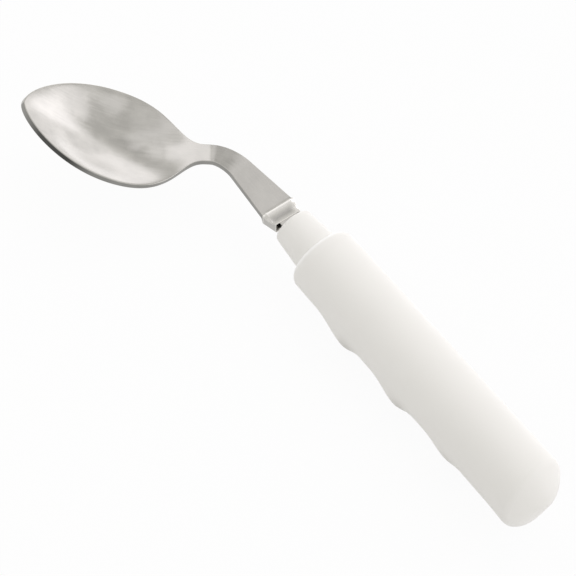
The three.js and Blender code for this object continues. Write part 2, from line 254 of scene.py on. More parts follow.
# Mesh helpers
def new_piece(name, rings, sharp_degrees, uv=None, marks=None):
    """A closed skin over rings of points in millimetres from the seat, welded where rings collapse."""
    count = len(rings[0])
    mesh = bpy.data.meshes.new(name)
    bm = bmesh.new()
    uv_layer = bm.loops.layers.uv.new("UVMap") if uv is not None else None
    layers = {mark: bm.verts.layers.float.new(mark) for mark in marks or {}}
    verts = []
    spots = {}
    for i, ring in enumerate(rings):
        row = []
        for j, p in enumerate(ring):
            v = bm.verts.new(Vector(SEAT + np.asarray(p) * MM))
            if uv_layer is not None:
                spots[v] = uv[i][j]
            for mark, layer in layers.items():
                v[layer] = marks[mark][i][j]
            row.append(v)
        verts.append(row)
    for a, b in zip(verts, verts[1:]):
        for j in range(count):
            k = (j + 1) % count
            bm.faces.new((a[j], a[k], b[k], b[j]))
    bm.faces.new(list(reversed(verts[0])))
    bm.faces.new(verts[-1])
    if uv_layer is not None:
        for face in bm.faces:
            for loop in face.loops:
                loop[uv_layer].uv = spots[loop.vert]
    bmesh.ops.remove_doubles(bm, verts=bm.verts, dist=WELD_DISTANCE)
    bmesh.ops.dissolve_degenerate(bm, edges=bm.edges, dist=FLAT_DISTANCE)
    bmesh.ops.recalc_face_normals(bm, faces=bm.faces)
    bm.to_mesh(mesh)
    bm.free()
    for polygon in mesh.polygons:
        polygon.use_smooth = True
    mesh.set_sharp_from_angle(angle=math.radians(sharp_degrees))
    piece = bpy.data.objects.new(name, mesh)
    bpy.context.scene.collection.objects.link(piece)
    return piece


def arc(x, r, radius, start, end, steps):
    angles = np.linspace(start, end, steps + 1)
    return [(x + radius * math.cos(a), r + radius * math.sin(a)) for a in angles]


def round_ring(x, r, outside=False):
    """A ring round the handle's axis, on the outside with the ridges and the slant of the butt."""
    angle = ROUND_ANGLES
    place = np.full(ROUND, x) + (butt_slide(x, r, angle) if outside else 0)
    radius = np.full(ROUND, r) + (ridge_swell(x, angle) if outside else 0)
    return np.stack([place, radius * np.sin(angle), -radius * np.cos(angle)], 1)


# Handle: how far the painted shade behind the ridges and the painted highlight line on the shoulder reach
SHADE_LEAD = 3.0
SHADE_FULL = math.cos(math.radians(30))
SHADE_NONE = math.cos(math.radians(90))
PALE_START = 2.2
PALE_FALL = 3


def ridge_height(x):
    """The finger ridges rise slowly from the front and fall steeply, and the underside is hollow behind."""
    total = 0.0
    for place, height, front, back in zip(RIDGE_PLACES, RIDGE_HEIGHTS, RIDGE_FRONTS, RIDGE_BACKS):
        past = -x - place
        away = past / back if past > 0 else -past / front
        if away < 1:
            total += height * math.cos(math.pi / 2 * away) ** 2
    waist = smooth(ramp(-x, *WAIST_START)) * (1 - smooth(ramp(-x, *WAIST_END)))
    return total - WAIST_DEPTH * waist


def ridge_swell(x, angle):
    return ridge_height(x) * np.maximum(0, np.cos(angle)) ** RIDGE_FADE


def ridge_shade(x):
    """Painted shade: the side of each ridge towards the butt is greyer where it turns under."""
    total = 0.0
    for place, back in zip(RIDGE_PLACES, RIDGE_BACKS):
        past = (-x - place + SHADE_LEAD) / (back + SHADE_LEAD)
        if 0 < past < 1:
            total += math.sin(math.pi * past) ** 2
    return total * smooth(ramp(np.cos(ROUND_ANGLES), SHADE_NONE, SHADE_FULL))


def butt_slide(x, r, angle):
    near = ramp(-x, HANDLE_LENGTH - BUTT_SLANT_LENGTH, HANDLE_LENGTH) ** 2
    out = ramp(r, BUTT_FLAT_RADIUS, BUTT_RADIUS)
    return -BUTT_SLANT * near * out * r * np.cos(angle)


def beads(radius, spread):
    """Profile of the snap beads on the spigot, or with a spread, of the grooves for them in the bore."""
    points = []
    for i in range(BEAD_COUNT):
        x = -BEAD_PLACE - BEAD_SPACING * i
        foot = BEAD_LENGTH / 2 + BEAD_HEIGHT + spread
        top = BEAD_LENGTH / 2 + spread
        points += [(x + foot, radius), (x + top, radius + BEAD_HEIGHT)]
        points += [(x - top, radius + BEAD_HEIGHT), (x - foot, radius)]
    return list(reversed(points))


def build_handle():
    shoulder = min(SHOULDER_RADIUS, HANDLE_WALL - SEAT_WIDTH)
    flat_angle = math.asin(BUTT_FLAT_RADIUS / BUTT_DOME_RADIUS)
    dome_x = -HANDLE_LENGTH + BUTT_DOME_RADIUS * math.cos(flat_angle)
    inset = BUTT_DOME_RADIUS - BUTT_EDGE_RADIUS
    edge_r = BUTT_RADIUS - BUTT_EDGE_RADIUS
    dome_angle = math.asin(edge_r / inset)
    edge_x = dome_x - inset * math.cos(dome_angle)
    corner = BORE_CORNER_RADIUS
    corner_x = -HANDLE_LENGTH + BUTT_WALL + corner
    corner_r = BORE_RADIUS - BORE_DRAFT - corner
    bore = arc(corner_x, corner_r, corner, math.pi, math.pi / 2, BORE_CORNER_STEPS)
    bore += [(-SPIGOT_LENGTH - CLEARANCE, BORE_RADIUS)]
    bore += beads(BORE_RADIUS, CLEARANCE) + [(0, BORE_RADIUS)]
    front = arc(-shoulder, HANDLE_RADIUS - shoulder, shoulder, 0, math.pi / 2, SHOULDER_STEPS)
    edge = arc(edge_x, edge_r, BUTT_EDGE_RADIUS, math.pi / 2, math.pi - dome_angle, BUTT_EDGE_STEPS)
    dome = arc(dome_x, 0, BUTT_DOME_RADIUS, math.pi - dome_angle, math.pi - flat_angle, BUTT_DOME_STEPS)[1:]
    rings = [round_ring(x, r) for x, r in bore + front]
    none = np.zeros(ROUND)
    shades = [none] * len(rings)
    painted_shoulder_highlights = [none] * len(bore)
    # Painted highlight: a paler line on the front of the shoulder
    painted_shoulder_highlights += [none + smooth(PALE_START - PALE_FALL * k / SHOULDER_STEPS) for k in range(len(front))]
    for x in np.linspace(-shoulder, edge_x, SIDE_STATIONS)[1:-1]:
        r = HANDLE_RADIUS + HANDLE_FLARE * ramp(x, -shoulder, edge_x)
        rings.append(round_ring(x, r, True))
        shades.append(ridge_shade(x))
    rings += [round_ring(x, r, True) for x, r in edge + dome]
    shades += [none] * len(edge + dome)
    painted_shoulder_highlights += [none] * (len(rings) - len(painted_shoulder_highlights))
    return new_piece("handle_grip", rings, HANDLE_SHARP, marks={"shade": shades, "painted_shoulder_highlight": painted_shoulder_highlights})


# Collar with the pocket for the tang, pressed home on the shell
def pocket_ring(x, half_y, half_z, corner):
    """A ring on a rectangle with round corners, at the same angles as a round ring."""
    ring = []
    for a in ROUND_ANGLES:
        dy, dz = math.sin(a), -math.cos(a)
        t = min(half_y / max(abs(dy), TINY), half_z / max(abs(dz), TINY))
        y, z = t * dy, t * dz
        cy, cz = half_y - corner, half_z - corner
        if abs(y) > cy and abs(z) > cz:
            oy, oz = math.copysign(cy, y), math.copysign(cz, z)
            b = dy * oy + dz * oz
            t = b + math.sqrt(max(0, b * b - (oy * oy + oz * oz) + corner * corner))
            y, z = t * dy, t * dz
        ring.append((x, y, z))
    return np.array(ring)


def build_collar():
    edge = COLLAR_EDGE_RADIUS
    half_y, half_z = POCKET_WIDTH / 2, POCKET_HEIGHT / 2
    profile = [(-SPIGOT_LENGTH, SPIGOT_RADIUS - edge), (-SPIGOT_LENGTH + edge, SPIGOT_RADIUS)]
    profile += beads(SPIGOT_RADIUS, 0)
    profile += [(SEAT_GAP, SPIGOT_RADIUS), (SEAT_GAP, COLLAR_BACK_RADIUS)]
    for share in np.linspace(0, 1, COLLAR_STATIONS)[1:-1]:
        x = SEAT_GAP + (MOUTH_X - edge - SEAT_GAP) * share
        profile.append((x, COLLAR_BACK_RADIUS + (COLLAR_FRONT_RADIUS - COLLAR_BACK_RADIUS) * share))
    profile += arc(MOUTH_X - edge, COLLAR_FRONT_RADIUS - edge, edge, math.pi / 2, 0, COLLAR_EDGE_STEPS)
    rings = [round_ring(x, r) for x, r in profile]
    rings.append(pocket_ring(MOUTH_X, half_y + POCKET_LIP, half_z + POCKET_LIP, POCKET_MOUTH_CORNER))
    for depth in POCKET_DEPTHS:
        rings.append(pocket_ring(MOUTH_X - depth, half_y, half_z, POCKET_CORNER))
    return new_piece("collar", rings, COLLAR_SHARP)


# Spoon: slopes and thickness along the blade
SLOPE_PLACES = (STEM_LENGTH, (STEM_LENGTH + BEND_END) / 2, BEND_END - CREST_LENGTH, BEND_END + CREST_LENGTH,
                SCOOP, SCOOP_END, TIP)
SLOPES = (0, BEND_RISE, BEND_RISE, NECK_DROP, NECK_DROP, HEEL_RISE, TIP_RISE)
SHEET_PLACES = (0, BEND_END, SCOOP, SCOOP_END)
SHEETS = (STEM_THICKNESS, NECK_THICKNESS, NECK_THICKNESS, BOWL_THICKNESS)


def heading(s):
    """Directions along the blade, to its left and up from it, at s along the blade."""
    turn = STEM_TURN + (BEND_ANGLE - STEM_TURN) * ramp(s, STEM_LENGTH, BEND_END)
    slope = np.interp(s, SLOPE_PLACES, SLOPES)
    left = np.stack([-np.sin(turn), np.cos(turn), np.zeros_like(turn)], -1)
    along = np.stack([np.cos(turn) * np.cos(slope), np.sin(turn) * np.cos(slope), np.sin(slope)], -1)
    return along, left, np.cross(along, left)


line_s = np.linspace(0, TIP, LINE_STEPS + 1)
line_along = heading((line_s[1:] + line_s[:-1]) / 2)[0]
line_points = np.concatenate([[[0, 0, 0]], np.cumsum(line_along * (TIP / LINE_STEPS), axis=0)])
line_points = line_points + np.array([BOLSTER_FRONT_X, STEM_OFFSET, STEM_TOP_Z - STEM_STEP])


def on_blade(s, y, z):
    """Points at s along the blade, y to its left and z above its rim."""
    s = np.asarray(s, float)
    origin = np.stack([np.interp(s, line_s, line_points[:, i]) for i in range(3)], -1)
    _, left, up = heading(s)
    return origin + left * np.asarray(y)[..., None] + up * np.asarray(z)[..., None]


def cubic(values, t):
    a, b, c, d = values
    return (1 - t) ** 3 * a + 3 * t * (1 - t) ** 2 * b + 3 * t * t * (1 - t) * c + t ** 3 * d


def on_curve(places, values, s):
    """Values on a smooth curve, given by the places and values of its two ends and two handles."""
    return np.interp(s, cubic(places, CURVE_SHARES), cubic(values, CURVE_SHARES))


def half_width(s):
    neck, side = NECK_WIDTH / 2, BOWL_WIDTH / 2
    stem = np.interp(s, [0, STEM_LENGTH, BEND_END], [STEM_WIDTH, BEND_WIDTH, NECK_WIDTH]) / 2
    flare = on_curve([HEEL, HEEL + FLARE_REACH, WIDEST - HEEL_REACH, WIDEST], [neck, neck, side, side], s)
    tip = on_curve([WIDEST, WIDEST + SIDE_REACH, TIP, TIP], [side, side, TIP_REACH, 0], s)
    return np.where(s <= HEEL, stem, np.where(s < WIDEST, flare, tip))


def dish_depth(s):
    heel = on_curve([DISH, DISH + DISH_EASE, WIDEST - DISH_REACH, WIDEST], [0, 0, BOWL_DEPTH, BOWL_DEPTH], s)
    tip = BOWL_DEPTH * (half_width(s) / (BOWL_WIDTH / 2)) ** (2 * DISH_FULLNESS)
    return np.where(s <= DISH, 0, np.where(s < WIDEST, heel, tip))


def bezier(*points):
    """A softened edge from the first point to the third, drawn towards the second."""
    p0, p1, p2 = np.array(points, float)
    t = np.linspace(0, 1, EDGE_STEPS + 1)[:, None]
    return (1 - t) ** 2 * p0 + 2 * t * (1 - t) * p1 + t * t * p2


# Painted light on the steel, as shares: painted dark reflection along the cut edges, painted shade in the
# bolster's groove, and painted sheen over the bolster casting with painted highlights at its lips and right
# end
EDGE_PLACES = (HEEL, WIDEST + 6, WIDEST + 14, TIP - 6, TIP - 1)
EDGE_SHADES = (0.6, 0.65, 1.0, 0.95, 0.6)
TANG_SHADE = 1.0
BOLSTER_SHADE = 0.42
RIGHT_SHADE = 0.5
GROOVE_SHADE_PLACE = 0.42
GROOVE_SHADE_REACH = 0.36
GROOVE_SHADE_DEPTH = 0.42
GROOVE_SHADE_CENTRE = 0.1
GROOVE_SHADE_FALL = 2
PAINTED_SHEEN_SHARE = 0.5
LIP_SHARE = 0.1
LIP_RISE = 2
END_START = 0.6
END_BLEND = 0.3


def painted_dark_edge_marks():
    """How much painted dark reflection each ring point carries on the steel's cut edge: none on the faces,
    all on the side walls.
    """
    rise = smooth(np.linspace(-1, 1, EDGE_STEPS + 1))[1:]
    side = np.concatenate([rise, rise[::-1]])
    face = np.zeros(ACROSS + 1)
    return np.concatenate([face, RIGHT_SHADE * side, face, side[::-1]])


PAINTED_DARK_EDGE_MARKS = painted_dark_edge_marks()
REST = np.zeros(len(PAINTED_DARK_EDGE_MARKS) - ACROSS - 1)
FACE_MARKS = np.concatenate([smooth(GROOVE_SHADE_FALL * (1 - abs(SHARES - GROOVE_SHADE_CENTRE))), REST])
END_MARKS = np.concatenate([smooth((-SHARES - END_START) / END_BLEND), REST])
NO_MARKS = np.zeros(len(PAINTED_DARK_EDGE_MARKS))


def groove_painted_shade(share):
    """Painted shade: the bottom of the bolster's groove is darker, most of all a little behind its middle.
    """
    return GROOVE_SHADE_DEPTH * smooth(1 - abs(share - GROOVE_SHADE_PLACE) / GROOVE_SHADE_REACH)


def bolster_painted_sheen(share):
    """Painted sheen: the bolster, a casting, is paler than the blade, with painted highlights at its two
    lips and at its right end.
    """
    away = min(share, 1 - share)
    lip = smooth((LIP_SHARE - away) / LIP_SHARE * LIP_RISE)
    return PAINTED_SHEEN_SHARE + (1 - PAINTED_SHEEN_SHARE) * np.maximum(lip, END_MARKS)


def inward_directions(points):
    """Directions from the blade's outline inwards, square to it, and square to the stem at its back end."""
    before = np.concatenate([points[:1], points[:-1]])
    after = np.concatenate([points[1:], points[-2:-1] * [1, -1]])
    tangent = after - before
    tangent /= np.linalg.norm(tangent, axis=1)[:, None]
    inward = np.stack([tangent[:, 1], -tangent[:, 0]], 1)
    inward[:SQUARE_STATIONS] = (0, -1)
    return inward


def blade_rings():
    """Rings, texture places and edge shades from the bolster to the tip."""
    stations = np.concatenate([
        np.linspace(STEM_STEP_LENGTH, STEM_LENGTH, STEM_STATIONS),
        np.linspace(STEM_LENGTH, BEND_END + CREST_LENGTH, BEND_STATIONS)[1:],
        np.linspace(BEND_END + CREST_LENGTH, SCOOP, NECK_STATIONS)[1:],
        SCOOP + (TIP - SCOOP) * (1 - np.cos(np.linspace(0, math.pi, BOWL_STATIONS)[1:])) / 2,
    ])
    half = half_width(stations)
    half[-1] = 0
    points = np.stack([stations, half], 1)
    inward = inward_directions(points)
    dish = np.maximum(0, 1 - SHARES ** 2) ** DISH_FULLNESS
    rings = []
    uvs = []
    for k, s in enumerate(stations):
        grow = smooth(ramp(s, HEEL, SCOOP_END))
        sheet = np.interp(s, SHEET_PLACES, SHEETS)
        lean = RIM_LEAN * grow
        soft = EDGE_SOFT + (RIM_SOFT - EDGE_SOFT) * grow
        corner = bezier((lean + soft, 0), (lean, 0), (lean * WALL_TOP_LEAN, -soft))
        foot = bezier((lean * WALL_FOOT_LEAN, -sheet + soft), (0, -sheet), (soft, -sheet))
        levels = np.concatenate([corner, foot])
        side = points[k] + levels[:, :1] * inward[k]
        if k == len(stations) - 1:
            side[:, 1] = 0
        top_y = SHARES * side[0, 1]
        bottom_y = -SHARES * side[-1, 1]
        depth = float(dish_depth(side[0, 0]))
        low = float(dish_depth(side[-1, 0]))
        inner, inner_z = side[1:-1], levels[1:-1, 1]
        top = on_blade(np.full(ACROSS + 1, side[0, 0]), top_y, -depth * dish)
        right = on_blade(inner[:, 0], -inner[:, 1], inner_z)
        bottom = on_blade(np.full(ACROSS + 1, side[-1, 0]), bottom_y, -sheet - low * dish)
        left = on_blade(inner[::-1, 0], inner[::-1, 1], inner_z[::-1])
        rings.append(np.concatenate([top, right, bottom, left]))
        around = np.concatenate([top_y, -inner[:, 1], bottom_y, inner[::-1, 1]])
        uvs.append([(s / UV_LENGTH, y / UV_LENGTH) for y in around])
    return rings, uvs, np.interp(stations, EDGE_PLACES, EDGE_SHADES)


def bar_ring(x, half, top, bottom, land=None, drop=0.0, draft=0.0, lean=0.0):
    """A straight stretch of the steel with softened edges, as many points as a blade ring."""
    land = half if land is None else land
    slope = drop / (half - land) if land < half else 0.0
    soft = EDGE_SOFT
    y = SHARES * (half - soft)
    z = top - slope * np.maximum(0, np.abs(y) - land)
    rim = top - slope * max(0.0, half - land)
    corner = bezier((soft, z[0]), (0, rim), (0, rim - soft))
    foot = bezier((draft, bottom + soft), (draft, bottom), (draft + soft, bottom))
    levels = np.concatenate([corner, foot])[1:-1]
    side_y = half - levels[:, 0]
    low_y = -SHARES * (half - draft - soft)
    ys = np.concatenate([y, -side_y, low_y, side_y[::-1]])
    zs = np.concatenate([z, levels[:, 1], np.full(ACROSS + 1, bottom), levels[::-1, 1]])
    xs = x - lean * np.clip((top - zs) / (top - bottom), 0, 1)
    return np.stack([xs, ys, zs], 1), [(a / UV_LENGTH, b / UV_LENGTH) for a, b in zip(xs, ys)]


def build_spoon():
    """One skin from the tang through the bolster to the tip."""
    rings, uvs, edges, painted_sheens = [], [], [], []

    # Each ring's marks: shade scales the painted dark reflection on the edges, the groove share adds painted
    # shade in the bolster's groove, and the last mark is the painted sheen on the bolster
    def add(pair, shade, groove_shade=0.0, painted_sheen=NO_MARKS):
        rings.append(pair[0])
        uvs.append(pair[1])
        edges.append(PAINTED_DARK_EDGE_MARKS * shade + FACE_MARKS * groove_shade)
        painted_sheens.append(painted_sheen)

    half = TANG_WIDTH / 2
    thick = TANG_THICKNESS / 2
    spacing = (TANG_LENGTH - RESIN_RECESS) / (NOTCH_COUNT + 1)
    near, far = NOTCH_LENGTH / 2, NOTCH_LENGTH / 2 + NOTCH_DEPTH
    add(bar_ring(TANG_END_X, half, thick, -thick), TANG_SHADE)
    for i in range(1, NOTCH_COUNT + 1):
        x = TANG_END_X + spacing * i
        for dx, cut in ((-far, 0), (-near, NOTCH_DEPTH), (near, NOTCH_DEPTH), (far, 0)):
            add(bar_ring(x + dx, half - cut, thick, -thick), TANG_SHADE)
    back_top = STEM_TOP_Z - COVE_BACK_DROP
    slant = BOLSTER_LEAN / (back_top - BOLSTER_FOOT_Z)
    tang_x = BOLSTER_BACK_X - slant * (back_top - thick)
    add(bar_ring(tang_x, half, thick, -thick, lean=slant * TANG_THICKNESS), TANG_SHADE)
    for i in range(BOLSTER_STEPS + 1):
        share = i / BOLSTER_STEPS
        x = BOLSTER_BACK_X + BOLSTER_LENGTH * share
        width = (BOLSTER_BACK_WIDTH + (BOLSTER_WIDTH - BOLSTER_BACK_WIDTH) * share) / 2
        cove = COVE_DEPTH * math.sin(math.pi * share) + COVE_BACK_DROP * (1 - share)
        pair = bar_ring(x, width, STEM_TOP_Z - cove, BOLSTER_FOOT_Z, width - BOLSTER_LAND * share,
                        BOLSTER_EDGE_DROP * share, BOLSTER_DRAFT, BOLSTER_LEAN)
        # The bolster's marks: painted dark reflection on its edges, painted shade in its groove, painted
        # sheen and highlights over it
        add(pair, BOLSTER_SHADE, groove_painted_shade(share), bolster_painted_sheen(share))
    for ring, uv, shade in zip(*blade_rings()):
        add((ring, uv), shade)
    # The edge mark carries painted dark reflection on the edges and painted shade in the groove; the other
    # mark carries painted sheen on the bolster
    return new_piece("spoon_steel", rings, STEEL_SHARP, uvs, {"edge": edges, "painted_sheen": painted_sheens})


# Steel: brush lines along the blade and soft clouds, which vary colour and roughness together
STEEL_DARK = (0.545, 0.532, 0.502)
STEEL_LIGHT = (0.65, 0.634, 0.598)
# Painted light on the steel: a paler painted sheen on the bolster, and near-black painted dark reflection
# along the edges
STEEL_MARKS = (("painted_sheen", (0.96, 0.94, 0.9)), ("edge", (0.06, 0.06, 0.056)))
STEEL_ANISOTROPY = 0.3
BRUSH_STRETCH = (12, 260, 1)
BRUSH_SCALE = 1
BRUSH_DETAIL = 5
BRUSH_SHARE = 0.45
STEEL_CLOUD_SCALE = 160
STEEL_CLOUD_DETAIL = 4
STEEL_ROUGH_RANGE = (0.5, 0.95)
STEEL_ROUGHNESS = (0.15, 0.24)
STEEL_TONE_RANGE = (0.54, 0.91)
STEEL_BUMP = 0.08
STEEL_BUMP_DEPTH = 0.00002

# Plastics: soft clouds in the colour and a fine moulded grain
WHITE_DARK = (0.845, 0.833, 0.793)
WHITE_LIGHT = (0.875, 0.863, 0.822)
RESIN_DARK = (0.28, 0.25, 0.19)
RESIN_LIGHT = (0.36, 0.33, 0.26)
# Painted light on the handle: painted shade behind the ridges, and a painted highlight on the shoulder
HANDLE_MARKS = (("shade", (0.55, 0.535, 0.495)), ("painted_shoulder_highlight", (0.98, 0.975, 0.955)))
HANDLE_ROUGHNESS = (0.42, 0.55)
COLLAR_ROUGHNESS = (0.38, 0.5)
RESIN_ROUGHNESS = (0.25, 0.4)
PLASTIC_CLOUD_SCALE = 60
PLASTIC_CLOUD_DETAIL = 3
GRAIN_SCALE = 2600
GRAIN_DETAIL = 2
PLASTIC_BUMP = 0.05
PLASTIC_BUMP_DEPTH = 0.0001


# Node helpers, which take and give sockets
def node_material(name):
    material = bpy.data.materials.new(name)
    material.use_nodes = True
    return material, material.node_tree, material.node_tree.nodes["Principled BSDF"].inputs


def noise(tree, place, scale, detail):
    node = tree.nodes.new("ShaderNodeTexNoise")
    node.inputs["Scale"].default_value = scale
    node.inputs["Detail"].default_value = detail
    tree.links.new(place, node.inputs["Vector"])
    return node.outputs["Fac"]


def ranged(tree, value, start, end, low=0.0, high=1.0, eased=False):
    """A value between start and end, brought to between low and high."""
    node = tree.nodes.new("ShaderNodeMapRange")
    if eased:
        node.interpolation_type = "SMOOTHSTEP"
    for socket, number in (("From Min", start), ("From Max", end), ("To Min", low), ("To Max", high)):
        node.inputs[socket].default_value = number
    tree.links.new(value, node.inputs["Value"])
    return node.outputs["Result"]


def combined(tree, operation, *values):
    """Sockets and numbers combined by one operation."""
    node = tree.nodes.new("ShaderNodeMath")
    node.operation = operation
    for socket, value in zip(node.inputs, values):
        if isinstance(value, float):
            socket.default_value = value
        else:
            tree.links.new(value, socket)
    return node.outputs[0]


def mixed(tree, share, first, second):
    """Two colours mixed by a share. The first may also be a socket."""
    node = tree.nodes.new("ShaderNodeMix")
    node.data_type = "RGBA"
    tree.links.new(share, node.inputs["Factor"])
    if isinstance(first, tuple):
        node.inputs["A"].default_value = (*first, 1)
    else:
        tree.links.new(first, node.inputs["A"])
    node.inputs["B"].default_value = (*second, 1)
    return node.outputs["Result"]


def marked(tree, tone, marks):
    """The tone with other colours over it, by the shares in the mesh's marks."""
    for mark, colour in marks:
        share = tree.nodes.new("ShaderNodeAttribute")
        share.attribute_name = mark
        tone = mixed(tree, share.outputs["Fac"], tone, colour)
    return tone


def bumped(tree, height, strength, distance):
    node = tree.nodes.new("ShaderNodeBump")
    node.inputs["Strength"].default_value = strength
    node.inputs["Distance"].default_value = distance
    tree.links.new(height, node.inputs["Height"])
    return node.outputs["Normal"]


def steel_material():
    material, tree, shader = node_material("satin_steel")
    shader["Metallic"].default_value = 1
    shader["Anisotropic"].default_value = STEEL_ANISOTROPY
    place = tree.nodes.new("ShaderNodeTexCoord").outputs
    stretch = tree.nodes.new("ShaderNodeMapping")
    stretch.inputs["Scale"].default_value = BRUSH_STRETCH
    tree.links.new(place["UV"], stretch.inputs["Vector"])
    brush = noise(tree, stretch.outputs["Vector"], BRUSH_SCALE, BRUSH_DETAIL)
    cloud = noise(tree, place["Object"], STEEL_CLOUD_SCALE, STEEL_CLOUD_DETAIL)
    wear = combined(tree, "MULTIPLY_ADD", brush, BRUSH_SHARE, cloud)
    tone = mixed(tree, ranged(tree, wear, *STEEL_TONE_RANGE), STEEL_DARK, STEEL_LIGHT)
    tree.links.new(marked(tree, tone, STEEL_MARKS), shader["Base Color"])
    tree.links.new(ranged(tree, wear, *STEEL_ROUGH_RANGE, *STEEL_ROUGHNESS), shader["Roughness"])
    tree.links.new(bumped(tree, brush, STEEL_BUMP, STEEL_BUMP_DEPTH), shader["Normal"])
    return material


def plastic_material(name, dark, light, roughness, marks=()):
    material, tree, shader = node_material(name)
    place = tree.nodes.new("ShaderNodeTexCoord").outputs["Object"]
    cloud = noise(tree, place, PLASTIC_CLOUD_SCALE, PLASTIC_CLOUD_DETAIL)
    grain = noise(tree, place, GRAIN_SCALE, GRAIN_DETAIL)
    tree.links.new(marked(tree, mixed(tree, cloud, dark, light), marks), shader["Base Color"])
    tree.links.new(ranged(tree, grain, 0, 1, *roughness), shader["Roughness"])
    tree.links.new(bumped(tree, grain, PLASTIC_BUMP, PLASTIC_BUMP_DEPTH), shader["Normal"])
    return material


# Camera, from the view fitted to the photograph: degrees, millimetres and pixels of a 576 frame
VIEW_TURN = math.radians(48.824)
VIEW_TILT = math.radians(16.482)
VIEW_ROLL = math.radians(28.523)
VIEW_CENTRE = (290.647, 222.451)
VIEW_SCALE = 3.441
VIEW_DISTANCE = 431.015
FRAME_PIXELS = 576
SENSOR = 36.0
CLIP_START = 0.01
AIM_PLACE = (11.9, 0.6, 1.2)


def build_camera():
    level = math.cos(VIEW_TILT)
    back = Vector((math.cos(VIEW_TURN) * level, -math.sin(VIEW_TURN) * level, math.sin(VIEW_TILT)))
    side = Vector((math.sin(VIEW_TURN), math.cos(VIEW_TURN), 0))
    lift = back.cross(side)
    right = side * math.cos(VIEW_ROLL) - lift * math.sin(VIEW_ROLL)
    up = side * math.sin(VIEW_ROLL) + lift * math.cos(VIEW_ROLL)
    to_world = Matrix((-back, -right, up))
    centre = FRAME_PIXELS / 2
    offset = Vector((
        -(VIEW_CENTRE[0] - centre) / VIEW_SCALE,
        (VIEW_CENTRE[1] - centre) / VIEW_SCALE,
        VIEW_DISTANCE,
    ))
    aim = Vector(SEAT + np.array(AIM_PLACE) * MM)
    data = bpy.data.cameras.new("camera")
    data.sensor_width = SENSOR
    data.lens = VIEW_SCALE * VIEW_DISTANCE / FRAME_PIXELS * SENSOR
    data.clip_start = CLIP_START
    camera = bpy.data.objects.new("camera", data)
    camera.matrix_world = Matrix.Translation(aim + to_world @ offset * MM) @ to_world.to_4x4()
    bpy.context.scene.collection.objects.link(camera)
    bpy.context.scene.camera = camera


# World: directions, strengths and the darker gap
WORLD_COLOUR = (1, 0.992, 0.972, 1)
WORLD_LOW = 0.7
WORLD_HIGH = 0.73
WORLD_BRIGHT_SIDE = (0.45, -0.85, 0.0)
DARK_AZIMUTH = math.radians(-72)
DARK_HEIGHT = math.radians(49)
DARK_INSIDE = math.cos(math.radians(6))
DARK_OUTSIDE = math.cos(math.radians(16))
DARK_DEPTH = 0.17


def towards(tree, place, direction):
    """How far each direction of the world points along the given one."""
    node = tree.nodes.new("ShaderNodeVectorMath")
    node.operation = "DOT_PRODUCT"
    node.inputs[1].default_value = direction
    tree.links.new(place, node.inputs[0])
    return node.outputs["Value"]


def build_world():
    """Even light from all round, a little stronger away from the camera, with one darker gap there."""
    world = bpy.data.worlds.new("studio")
    world.use_nodes = True
    bpy.context.scene.world = world
    tree = world.node_tree
    background = tree.nodes["Background"].inputs
    background["Color"].default_value = WORLD_COLOUR
    place = tree.nodes.new("ShaderNodeTexCoord").outputs["Generated"]
    level = ranged(tree, towards(tree, place, WORLD_BRIGHT_SIDE), -1, 1, WORLD_LOW, WORLD_HIGH, eased=True)
    flat = math.cos(DARK_HEIGHT)
    dark = (flat * math.cos(DARK_AZIMUTH), flat * math.sin(DARK_AZIMUTH), math.sin(DARK_HEIGHT))
    shade = ranged(tree, towards(tree, place, dark), DARK_OUTSIDE, DARK_INSIDE, 0, DARK_DEPTH, eased=True)
    tree.links.new(combined(tree, "SUBTRACT", level, shade), background["Strength"])


# Floor, in metres
FLOOR_SIZE = 2.0
FLOOR_GAP = 0.0003
FLOOR_SHARE = 0.94
FLOOR_COLOUR = (0.8, 0.8, 0.8, 1)
FLOOR_ROUGHNESS = 0.9
FLOOR_GLOSS = 0.2
GLOW_COLOUR = (1, 1, 1, 1)
GLOW_STRENGTH = 1


def build_floor():
    """A white floor: its lit surface carries the shadow, lifted to white for what sees it directly."""
    mesh = bpy.data.meshes.new("floor")
    h = FLOOR_SIZE
    mesh.from_pydata([(-h, -h, 0), (h, -h, 0), (h, h, 0), (-h, h, 0)], [], [(0, 1, 2, 3)])
    floor = bpy.data.objects.new("floor", mesh)
    bpy.context.scene.collection.objects.link(floor)
    floor.location.z = cad_low[2] - FLOOR_GAP
    material, tree, shader = node_material("floor_white")
    shader["Base Color"].default_value = FLOOR_COLOUR
    shader["Roughness"].default_value = FLOOR_ROUGHNESS
    shader["Specular IOR Level"].default_value = FLOOR_GLOSS
    glow = tree.nodes.new("ShaderNodeEmission")
    glow.inputs["Color"].default_value = GLOW_COLOUR
    glow.inputs["Strength"].default_value = GLOW_STRENGTH
    path = tree.nodes.new("ShaderNodeLightPath").outputs
    seen = combined(tree, "MAXIMUM", path["Is Camera Ray"], path["Is Glossy Ray"])
    seen = combined(tree, "MAXIMUM", seen, path["Is Transmission Ray"])
    mix = tree.nodes.new("ShaderNodeMixShader")
    tree.links.new(combined(tree, "MULTIPLY", seen, FLOOR_SHARE), mix.inputs["Fac"])
    tree.links.new(tree.nodes["Principled BSDF"].outputs[0], mix.inputs[1])
    tree.links.new(glow.outputs[0], mix.inputs[2])
    tree.links.new(mix.outputs[0], tree.nodes["Material Output"].inputs["Surface"])
    mesh.materials.append(material)


